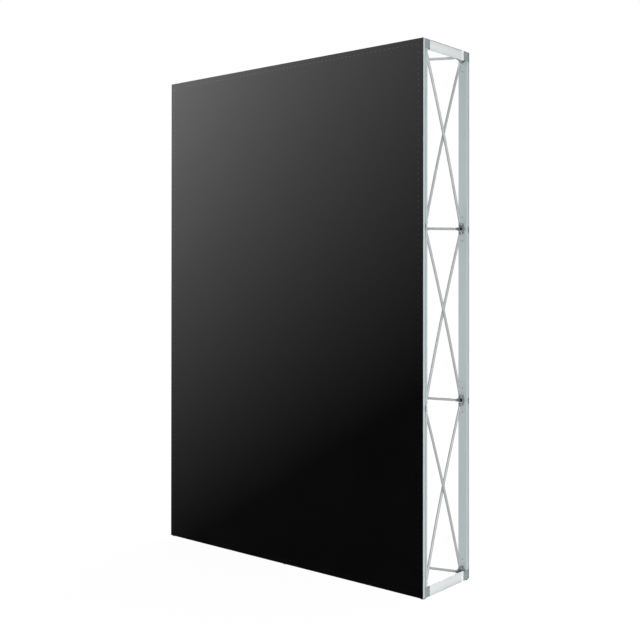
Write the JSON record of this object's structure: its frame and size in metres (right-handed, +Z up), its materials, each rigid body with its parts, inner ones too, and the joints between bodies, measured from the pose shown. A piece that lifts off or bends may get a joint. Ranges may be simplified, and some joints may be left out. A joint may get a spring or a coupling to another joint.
{
  "type": "lightbox display wall",
  "caption": "Free-standing lightbox display wall: folding scissor frame of hubs and crossed tubes, channel bar frame, rear posts, stretched front cover and light ladder.",
  "frame": {"origin": "on the ground, under the middle of the wall", "axes": "+Z up, X along the wall's width, -Y the covered front"},
  "size_m": [1.484, 0.35, 2.224],
  "materials": {
    "bar_aluminium": "satin anodised, grey green",
    "tube_aluminium": "satin",
    "hub_plastic": "moulded, grey",
    "end_bar_white": "white, satin",
    "cover_fabric": "stretch knit, black",
    "light_white": "white"
  },
  "bodies": {
    "front_frame": {"front_channel_frame": "bar_aluminium", "fabric_cover": "cover_fabric", "end_bar_left_bottom": "end_bar_white", "end_bar_left_top": "end_bar_white", "end_bar_right_bottom": "end_bar_white", "end_bar_right_top": "end_bar_white", "hub_front_middle_1": "hub_plastic"},
    "rear_frame": {"rear_post_left": "bar_aluminium", "rear_post_right": "bar_aluminium", "light_ladder": "light_white"},
    "hub_front_left_1": {"hub_front_left_1": "hub_plastic"},
    "hub_front_left_2": {"hub_front_left_2": "hub_plastic"},
    "hub_front_left_3": {"hub_front_left_3": "hub_plastic"},
    "hub_front_left_4": {"hub_front_left_4": "hub_plastic"},
    "hub_front_middle_2": {"hub_front_middle_2": "hub_plastic"},
    "hub_front_middle_3": {"hub_front_middle_3": "hub_plastic"},
    "hub_front_middle_4": {"hub_front_middle_4": "hub_plastic"},
    "hub_front_right_1": {"hub_front_right_1": "hub_plastic"},
    "hub_front_right_2": {"hub_front_right_2": "hub_plastic"},
    "hub_front_right_3": {"hub_front_right_3": "hub_plastic"},
    "hub_front_right_4": {"hub_front_right_4": "hub_plastic"},
    "hub_rear_left_1": {"hub_rear_left_1": "hub_plastic"},
    "hub_rear_left_2": {"hub_rear_left_2": "hub_plastic"},
    "hub_rear_left_3": {"hub_rear_left_3": "hub_plastic"},
    "hub_rear_left_4": {"hub_rear_left_4": "hub_plastic"},
    "hub_rear_middle_2": {"hub_rear_middle_2": "hub_plastic"},
    "hub_rear_middle_3": {"hub_rear_middle_3": "hub_plastic"},
    "hub_rear_middle_4": {"hub_rear_middle_4": "hub_plastic"},
    "hub_rear_right_1": {"hub_rear_right_1": "hub_plastic"},
    "hub_rear_right_2": {"hub_rear_right_2": "hub_plastic"},
    "hub_rear_right_3": {"hub_rear_right_3": "hub_plastic"},
    "hub_rear_right_4": {"hub_rear_right_4": "hub_plastic"},
    "tube_column_left_1_a": {"tube_column_left_1_a": "tube_aluminium"},
    "tube_column_left_1_b": {"tube_column_left_1_b": "tube_aluminium"},
    "tube_column_left_2_a": {"tube_column_left_2_a": "tube_aluminium"},
    "tube_column_left_2_b": {"tube_column_left_2_b": "tube_aluminium"},
    "tube_column_left_3_a": {"tube_column_left_3_a": "tube_aluminium"},
    "tube_column_left_3_b": {"tube_column_left_3_b": "tube_aluminium"},
    "tube_column_right_1_a": {"tube_column_right_1_a": "tube_aluminium"},
    "tube_column_right_1_b": {"tube_column_right_1_b": "tube_aluminium"},
    "tube_column_right_2_a": {"tube_column_right_2_a": "tube_aluminium"},
    "tube_column_right_2_b": {"tube_column_right_2_b": "tube_aluminium"},
    "tube_column_right_3_a": {"tube_column_right_3_a": "tube_aluminium"},
    "tube_column_right_3_b": {"tube_column_right_3_b": "tube_aluminium"},
    "tube_row_1_left_a": {"tube_row_1_left_a": "tube_aluminium"},
    "tube_row_1_left_b": {"tube_row_1_left_b": "tube_aluminium"},
    "tube_row_1_right_a": {"tube_row_1_right_a": "tube_aluminium"},
    "tube_row_1_right_b": {"tube_row_1_right_b": "tube_aluminium"},
    "tube_row_2_left_a": {"tube_row_2_left_a": "tube_aluminium"},
    "tube_row_2_left_b": {"tube_row_2_left_b": "tube_aluminium"},
    "tube_row_2_right_a": {"tube_row_2_right_a": "tube_aluminium"},
    "tube_row_2_right_b": {"tube_row_2_right_b": "tube_aluminium"},
    "tube_row_3_left_a": {"tube_row_3_left_a": "tube_aluminium"},
    "tube_row_3_left_b": {"tube_row_3_left_b": "tube_aluminium"},
    "tube_row_3_right_a": {"tube_row_3_right_a": "tube_aluminium"},
    "tube_row_3_right_b": {"tube_row_3_right_b": "tube_aluminium"},
    "tube_row_4_left_a": {"tube_row_4_left_a": "tube_aluminium"},
    "tube_row_4_left_b": {"tube_row_4_left_b": "tube_aluminium"},
    "tube_row_4_right_a": {"tube_row_4_right_a": "tube_aluminium"},
    "tube_row_4_right_b": {"tube_row_4_right_b": "tube_aluminium"}
  },
  "joints": [
    {"name": "frame_fold", "type": "hinge", "parent": "front_frame", "child": "tube_row_1_right_a", "pos_m": [0.018, -0.1252, 0.035], "axis": [0, 0, 1], "range_deg": [0, 62]},
    {"name": "turn_hub_front_left_1", "type": "hinge", "parent": "tube_row_1_left_b", "child": "hub_front_left_1", "pos_m": [-0.704, -0.1252, 0.035], "axis": [0, 0, -1], "range_deg": [0, 62]},
    {"name": "turn_hub_front_left_2", "type": "hinge", "parent": "tube_column_left_1_b", "child": "hub_front_left_2", "pos_m": [-0.722, -0.1252, 0.739], "axis": [-1, 0, 0], "range_deg": [0, 62]},
    {"name": "turn_hub_front_left_3", "type": "hinge", "parent": "tube_column_left_2_b", "child": "hub_front_left_3", "pos_m": [-0.722, -0.1252, 1.461], "axis": [-1, 0, 0], "range_deg": [0, 62]},
    {"name": "turn_hub_front_left_4", "type": "hinge", "parent": "tube_column_left_3_b", "child": "hub_front_left_4", "pos_m": [-0.722, -0.1252, 2.183], "axis": [-1, 0, 0], "range_deg": [0, 62]},
    {"name": "turn_hub_front_middle_2", "type": "hinge", "parent": "tube_row_2_right_a", "child": "hub_front_middle_2", "pos_m": [0.018, -0.1252, 0.757], "axis": [0, 0, -1], "range_deg": [0, 62]},
    {"name": "turn_hub_front_middle_3", "type": "hinge", "parent": "tube_row_3_right_a", "child": "hub_front_middle_3", "pos_m": [0.018, -0.1252, 1.479], "axis": [0, 0, -1], "range_deg": [0, 62]},
    {"name": "turn_hub_front_middle_4", "type": "hinge", "parent": "tube_row_4_right_a", "child": "hub_front_middle_4", "pos_m": [0.018, -0.1252, 2.201], "axis": [0, 0, -1], "range_deg": [0, 62]},
    {"name": "turn_hub_front_right_1", "type": "hinge", "parent": "tube_row_1_right_b", "child": "hub_front_right_1", "pos_m": [0.704, -0.1252, 0.035], "axis": [0, 0, 1], "range_deg": [0, 62]},
    {"name": "turn_hub_front_right_2", "type": "hinge", "parent": "tube_column_right_1_b", "child": "hub_front_right_2", "pos_m": [0.722, -0.1252, 0.739], "axis": [-1, 0, 0], "range_deg": [0, 62]},
    {"name": "turn_hub_front_right_3", "type": "hinge", "parent": "tube_column_right_2_b", "child": "hub_front_right_3", "pos_m": [0.722, -0.1252, 1.461], "axis": [-1, 0, 0], "range_deg": [0, 62]},
    {"name": "turn_hub_front_right_4", "type": "hinge", "parent": "tube_column_right_3_b", "child": "hub_front_right_4", "pos_m": [0.722, -0.1252, 2.183], "axis": [-1, 0, 0], "range_deg": [0, 62]},
    {"name": "turn_hub_rear_left_1", "type": "hinge", "parent": "tube_row_1_left_a", "child": "hub_rear_left_1", "pos_m": [-0.704, 0.1347, 0.035], "axis": [0, 0, 1], "range_deg": [0, 62]},
    {"name": "turn_hub_rear_left_2", "type": "hinge", "parent": "tube_column_left_1_a", "child": "hub_rear_left_2", "pos_m": [-0.722, 0.1347, 0.739], "axis": [1, 0, 0], "range_deg": [0, 62]},
    {"name": "turn_hub_rear_left_3", "type": "hinge", "parent": "tube_column_left_2_a", "child": "hub_rear_left_3", "pos_m": [-0.722, 0.1347, 1.461], "axis": [1, 0, 0], "range_deg": [0, 62]},
    {"name": "turn_hub_rear_left_4", "type": "hinge", "parent": "tube_column_left_3_a", "child": "hub_rear_left_4", "pos_m": [-0.722, 0.1347, 2.183], "axis": [1, 0, 0], "range_deg": [0, 62]},
    {"name": "turn_hub_rear_middle_2", "type": "hinge", "parent": "tube_row_2_right_b", "child": "hub_rear_middle_2", "pos_m": [0.018, 0.1347, 0.757], "axis": [0, 0, 1], "range_deg": [0, 62]},
    {"name": "turn_hub_rear_middle_3", "type": "hinge", "parent": "tube_row_3_right_b", "child": "hub_rear_middle_3", "pos_m": [0.018, 0.1347, 1.479], "axis": [0, 0, 1], "range_deg": [0, 62]},
    {"name": "turn_hub_rear_middle_4", "type": "hinge", "parent": "tube_row_4_right_b", "child": "hub_rear_middle_4", "pos_m": [0.018, 0.1347, 2.201], "axis": [0, 0, 1], "range_deg": [0, 62]},
    {"name": "turn_hub_rear_right_1", "type": "hinge", "parent": "tube_row_1_right_a", "child": "hub_rear_right_1", "pos_m": [0.704, 0.1347, 0.035], "axis": [0, 0, -1], "range_deg": [0, 62]},
    {"name": "turn_hub_rear_right_2", "type": "hinge", "parent": "tube_column_right_1_a", "child": "hub_rear_right_2", "pos_m": [0.722, 0.1347, 0.739], "axis": [1, 0, 0], "range_deg": [0, 62]},
    {"name": "turn_hub_rear_right_3", "type": "hinge", "parent": "tube_column_right_2_a", "child": "hub_rear_right_3", "pos_m": [0.722, 0.1347, 1.461], "axis": [1, 0, 0], "range_deg": [0, 62]},
    {"name": "turn_hub_rear_right_4", "type": "hinge", "parent": "tube_column_right_3_a", "child": "hub_rear_right_4", "pos_m": [0.722, 0.1347, 2.183], "axis": [1, 0, 0], "range_deg": [0, 62]},
    {"name": "turn_rear_frame", "type": "hinge", "parent": "tube_row_1_right_b", "child": "rear_frame", "pos_m": [0.018, 0.1347, 0.035], "axis": [0, 0, 1], "range_deg": [0, 62]},
    {"name": "turn_tube_column_left_1_a", "type": "hinge", "parent": "hub_front_left_1", "child": "tube_column_left_1_a", "pos_m": [-0.722, -0.1252, 0.053], "axis": [-1, 0, 0], "range_deg": [0, 62]},
    {"name": "turn_tube_column_left_1_b", "type": "hinge", "parent": "tube_column_left_1_a", "child": "tube_column_left_1_b", "pos_m": [-0.722, 0.00475, 0.396], "axis": [1, 0, 0], "range_deg": [0, 124]},
    {"name": "turn_tube_column_left_2_a", "type": "hinge", "parent": "hub_front_left_2", "child": "tube_column_left_2_a", "pos_m": [-0.722, -0.1252, 0.775], "axis": [-1, 0, 0], "range_deg": [0, 62]},
    {"name": "turn_tube_column_left_2_b", "type": "hinge", "parent": "tube_column_left_2_a", "child": "tube_column_left_2_b", "pos_m": [-0.722, 0.00475, 1.118], "axis": [1, 0, 0], "range_deg": [0, 124]},
    {"name": "turn_tube_column_left_3_a", "type": "hinge", "parent": "hub_front_left_3", "child": "tube_column_left_3_a", "pos_m": [-0.722, -0.1252, 1.497], "axis": [-1, 0, 0], "range_deg": [0, 62]},
    {"name": "turn_tube_column_left_3_b", "type": "hinge", "parent": "tube_column_left_3_a", "child": "tube_column_left_3_b", "pos_m": [-0.722, 0.00475, 1.84], "axis": [1, 0, 0], "range_deg": [0, 124]},
    {"name": "turn_tube_column_right_1_a", "type": "hinge", "parent": "hub_front_right_1", "child": "tube_column_right_1_a", "pos_m": [0.722, -0.1252, 0.053], "axis": [-1, 0, 0], "range_deg": [0, 62]},
    {"name": "turn_tube_column_right_1_b", "type": "hinge", "parent": "tube_column_right_1_a", "child": "tube_column_right_1_b", "pos_m": [0.722, 0.00475, 0.396], "axis": [1, 0, 0], "range_deg": [0, 124]},
    {"name": "turn_tube_column_right_2_a", "type": "hinge", "parent": "hub_front_right_2", "child": "tube_column_right_2_a", "pos_m": [0.722, -0.1252, 0.775], "axis": [-1, 0, 0], "range_deg": [0, 62]},
    {"name": "turn_tube_column_right_2_b", "type": "hinge", "parent": "tube_column_right_2_a", "child": "tube_column_right_2_b", "pos_m": [0.722, 0.00475, 1.118], "axis": [1, 0, 0], "range_deg": [0, 124]},
    {"name": "turn_tube_column_right_3_a", "type": "hinge", "parent": "hub_front_right_3", "child": "tube_column_right_3_a", "pos_m": [0.722, -0.1252, 1.497], "axis": [-1, 0, 0], "range_deg": [0, 62]},
    {"name": "turn_tube_column_right_3_b", "type": "hinge", "parent": "tube_column_right_3_a", "child": "tube_column_right_3_b", "pos_m": [0.722, 0.00475, 1.84], "axis": [1, 0, 0], "range_deg": [0, 124]},
    {"name": "turn_tube_row_1_left_a", "type": "hinge", "parent": "front_frame", "child": "tube_row_1_left_a", "pos_m": [-0.018, -0.1252, 0.035], "axis": [0, 0, -1], "range_deg": [0, 62]},
    {"name": "turn_tube_row_1_left_b", "type": "hinge", "parent": "tube_row_1_left_a", "child": "tube_row_1_left_b", "pos_m": [-0.361, 0.00475, 0.035], "axis": [0, 0, 1], "range_deg": [0, 124]},
    {"name": "turn_tube_row_1_right_b", "type": "hinge", "parent": "tube_row_1_right_a", "child": "tube_row_1_right_b", "pos_m": [0.361, 0.00475, 0.035], "axis": [0, 0, -1], "range_deg": [0, 124]},
    {"name": "turn_tube_row_2_left_a", "type": "hinge", "parent": "tube_row_2_left_b", "child": "tube_row_2_left_a", "pos_m": [-0.361, 0.00475, 0.757], "axis": [0, 0, -1], "range_deg": [0, 124]},
    {"name": "turn_tube_row_2_left_b", "type": "hinge", "parent": "hub_front_left_2", "child": "tube_row_2_left_b", "pos_m": [-0.704, -0.1252, 0.757], "axis": [0, 0, 1], "range_deg": [0, 62]},
    {"name": "turn_tube_row_2_right_a", "type": "hinge", "parent": "tube_row_2_right_b", "child": "tube_row_2_right_a", "pos_m": [0.361, 0.00475, 0.757], "axis": [0, 0, 1], "range_deg": [0, 124]},
    {"name": "turn_tube_row_2_right_b", "type": "hinge", "parent": "hub_front_right_2", "child": "tube_row_2_right_b", "pos_m": [0.704, -0.1252, 0.757], "axis": [0, 0, -1], "range_deg": [0, 62]},
    {"name": "turn_tube_row_3_left_a", "type": "hinge", "parent": "tube_row_3_left_b", "child": "tube_row_3_left_a", "pos_m": [-0.361, 0.00475, 1.479], "axis": [0, 0, -1], "range_deg": [0, 124]},
    {"name": "turn_tube_row_3_left_b", "type": "hinge", "parent": "hub_front_left_3", "child": "tube_row_3_left_b", "pos_m": [-0.704, -0.1252, 1.479], "axis": [0, 0, 1], "range_deg": [0, 62]},
    {"name": "turn_tube_row_3_right_a", "type": "hinge", "parent": "tube_row_3_right_b", "child": "tube_row_3_right_a", "pos_m": [0.361, 0.00475, 1.479], "axis": [0, 0, 1], "range_deg": [0, 124]},
    {"name": "turn_tube_row_3_right_b", "type": "hinge", "parent": "hub_front_right_3", "child": "tube_row_3_right_b", "pos_m": [0.704, -0.1252, 1.479], "axis": [0, 0, -1], "range_deg": [0, 62]},
    {"name": "turn_tube_row_4_left_a", "type": "hinge", "parent": "tube_row_4_left_b", "child": "tube_row_4_left_a", "pos_m": [-0.361, 0.00475, 2.201], "axis": [0, 0, -1], "range_deg": [0, 124]},
    {"name": "turn_tube_row_4_left_b", "type": "hinge", "parent": "hub_front_left_4", "child": "tube_row_4_left_b", "pos_m": [-0.704, -0.1252, 2.201], "axis": [0, 0, 1], "range_deg": [0, 62]},
    {"name": "turn_tube_row_4_right_a", "type": "hinge", "parent": "tube_row_4_right_b", "child": "tube_row_4_right_a", "pos_m": [0.361, 0.00475, 2.201], "axis": [0, 0, 1], "range_deg": [0, 124]},
    {"name": "turn_tube_row_4_right_b", "type": "hinge", "parent": "hub_front_right_4", "child": "tube_row_4_right_b", "pos_m": [0.704, -0.1252, 2.201], "axis": [0, 0, -1], "range_deg": [0, 62]}
  ],
  "couplings": [
    {"joint": "turn_hub_front_left_1", "follows": "frame_fold", "ratio": 1},
    {"joint": "turn_hub_front_left_2", "follows": "frame_fold", "ratio": 1},
    {"joint": "turn_hub_front_left_3", "follows": "frame_fold", "ratio": 1},
    {"joint": "turn_hub_front_left_4", "follows": "frame_fold", "ratio": 1},
    {"joint": "turn_hub_front_middle_2", "follows": "frame_fold", "ratio": 1},
    {"joint": "turn_hub_front_middle_3", "follows": "frame_fold", "ratio": 1},
    {"joint": "turn_hub_front_middle_4", "follows": "frame_fold", "ratio": 1},
    {"joint": "turn_hub_front_right_1", "follows": "frame_fold", "ratio": 1},
    {"joint": "turn_hub_front_right_2", "follows": "frame_fold", "ratio": 1},
    {"joint": "turn_hub_front_right_3", "follows": "frame_fold", "ratio": 1},
    {"joint": "turn_hub_front_right_4", "follows": "frame_fold", "ratio": 1},
    {"joint": "turn_hub_rear_left_1", "follows": "frame_fold", "ratio": 1},
    {"joint": "turn_hub_rear_left_2", "follows": "frame_fold", "ratio": 1},
    {"joint": "turn_hub_rear_left_3", "follows": "frame_fold", "ratio": 1},
    {"joint": "turn_hub_rear_left_4", "follows": "frame_fold", "ratio": 1},
    {"joint": "turn_hub_rear_middle_2", "follows": "frame_fold", "ratio": 1},
    {"joint": "turn_hub_rear_middle_3", "follows": "frame_fold", "ratio": 1},
    {"joint": "turn_hub_rear_middle_4", "follows": "frame_fold", "ratio": 1},
    {"joint": "turn_hub_rear_right_1", "follows": "frame_fold", "ratio": 1},
    {"joint": "turn_hub_rear_right_2", "follows": "frame_fold", "ratio": 1},
    {"joint": "turn_hub_rear_right_3", "follows": "frame_fold", "ratio": 1},
    {"joint": "turn_hub_rear_right_4", "follows": "frame_fold", "ratio": 1},
    {"joint": "turn_rear_frame", "follows": "frame_fold", "ratio": 1},
    {"joint": "turn_tube_column_left_1_a", "follows": "frame_fold", "ratio": 1},
    {"joint": "turn_tube_column_left_1_b", "follows": "frame_fold", "ratio": 2},
    {"joint": "turn_tube_column_left_2_a", "follows": "frame_fold", "ratio": 1},
    {"joint": "turn_tube_column_left_2_b", "follows": "frame_fold", "ratio": 2},
    {"joint": "turn_tube_column_left_3_a", "follows": "frame_fold", "ratio": 1},
    {"joint": "turn_tube_column_left_3_b", "follows": "frame_fold", "ratio": 2},
    {"joint": "turn_tube_column_right_1_a", "follows": "frame_fold", "ratio": 1},
    {"joint": "turn_tube_column_right_1_b", "follows": "frame_fold", "ratio": 2},
    {"joint": "turn_tube_column_right_2_a", "follows": "frame_fold", "ratio": 1},
    {"joint": "turn_tube_column_right_2_b", "follows": "frame_fold", "ratio": 2},
    {"joint": "turn_tube_column_right_3_a", "follows": "frame_fold", "ratio": 1},
    {"joint": "turn_tube_column_right_3_b", "follows": "frame_fold", "ratio": 2},
    {"joint": "turn_tube_row_1_left_a", "follows": "frame_fold", "ratio": 1},
    {"joint": "turn_tube_row_1_left_b", "follows": "frame_fold", "ratio": 2},
    {"joint": "turn_tube_row_1_right_b", "follows": "frame_fold", "ratio": 2},
    {"joint": "turn_tube_row_2_left_a", "follows": "frame_fold", "ratio": 2},
    {"joint": "turn_tube_row_2_left_b", "follows": "frame_fold", "ratio": 1},
    {"joint": "turn_tube_row_2_right_a", "follows": "frame_fold", "ratio": 2},
    {"joint": "turn_tube_row_2_right_b", "follows": "frame_fold", "ratio": 1},
    {"joint": "turn_tube_row_3_left_a", "follows": "frame_fold", "ratio": 2},
    {"joint": "turn_tube_row_3_left_b", "follows": "frame_fold", "ratio": 1},
    {"joint": "turn_tube_row_3_right_a", "follows": "frame_fold", "ratio": 2},
    {"joint": "turn_tube_row_3_right_b", "follows": "frame_fold", "ratio": 1},
    {"joint": "turn_tube_row_4_left_a", "follows": "frame_fold", "ratio": 2},
    {"joint": "turn_tube_row_4_left_b", "follows": "frame_fold", "ratio": 1},
    {"joint": "turn_tube_row_4_right_a", "follows": "frame_fold", "ratio": 2},
    {"joint": "turn_tube_row_4_right_b", "follows": "frame_fold", "ratio": 1}
  ]
}
